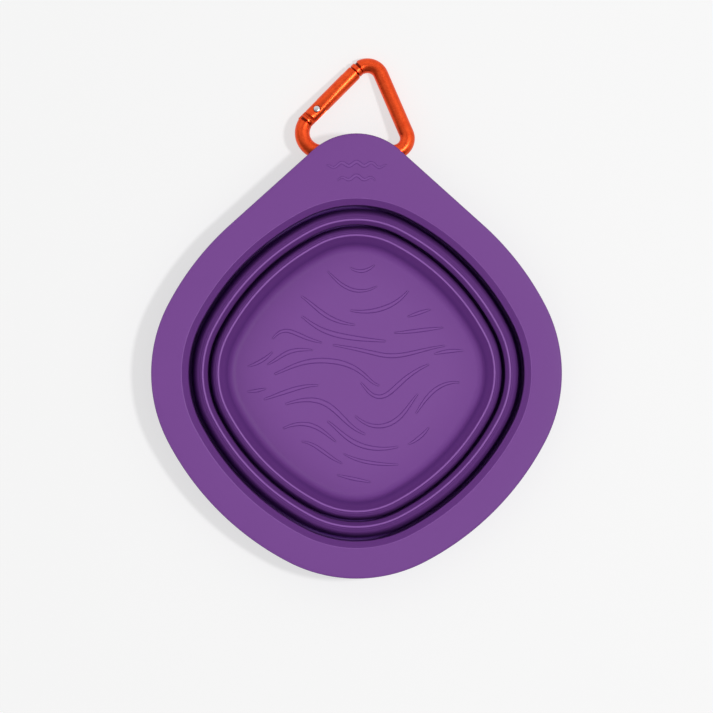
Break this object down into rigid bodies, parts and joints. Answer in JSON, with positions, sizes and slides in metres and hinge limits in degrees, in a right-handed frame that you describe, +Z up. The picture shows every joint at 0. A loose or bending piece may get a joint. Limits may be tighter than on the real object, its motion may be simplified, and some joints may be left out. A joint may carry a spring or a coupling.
{
  "type": "collapsible bowl",
  "caption": "Collapsible silicone bowl, folded flat, with a rounded-square pop-out wall, a wide rim with a carrying tab, and an aluminium spring-gate carabiner in a loop under the tab.",
  "frame": {"origin": "centre of the base's flat underside, on the table", "axes": "+Z up out of the bowl's mouth, +Y towards the carrying tab and the carabiner, +X to the right"},
  "size_m": [0.1644, 0.2086, 0.0175],
  "materials": {
    "silicone": "matte moulded silicone, purple",
    "anodised": "satin orange anodised",
    "steel": "bright steel"
  },
  "bodies": {
    "base": {"base_cup": "silicone", "lower_fold": "silicone"},
    "middle": {"middle_ring": "silicone", "upper_fold": "silicone"},
    "rim": {"rim_flange": "silicone"},
    "carabiner": {"carabiner_body": "anodised", "gate_hinge_rivet": "steel"},
    "gate": {"carabiner_gate": "anodised", "gate_spring": "steel"},
    "plunger": {"spring_plunger": "steel"}
  },
  "joints": [
    {"name": "lower_fold_pop", "type": "slide", "parent": "base", "child": "middle", "axis": [0, 0, 1], "range_m": [0, 0.018], "deforming": ["lower_fold"]},
    {"name": "upper_fold_pop", "type": "slide", "parent": "middle", "child": "rim", "axis": [0, 0, 1], "range_m": [0, 0.0214], "deforming": ["upper_fold"]},
    {"name": "carabiner_swing", "type": "hinge", "parent": "rim", "child": "carabiner", "pos_m": [0, 0.0886, 0.0104], "axis": [1, 0, 0], "range_deg": [-105, 65]},
    {"name": "gate_open", "type": "hinge", "parent": "carabiner", "child": "gate", "pos_m": [-0.01592, 0.10536, 0.00686], "axis": [0, -0.2065, -0.9785], "range_deg": [0, 30], "stiffness_Nm_per_rad": 0.02, "springref_deg": -34.38},
    {"name": "plunger_push", "type": "slide", "parent": "gate", "child": "plunger", "axis": [0.695, 0.7035, -0.1484], "range_m": [0, 0.00048], "deforming": ["gate_spring"]}
  ],
  "couplings": [
    {"joint": "plunger_push", "follows": "gate_open", "m_per_rad": 0.0009}
  ]
}
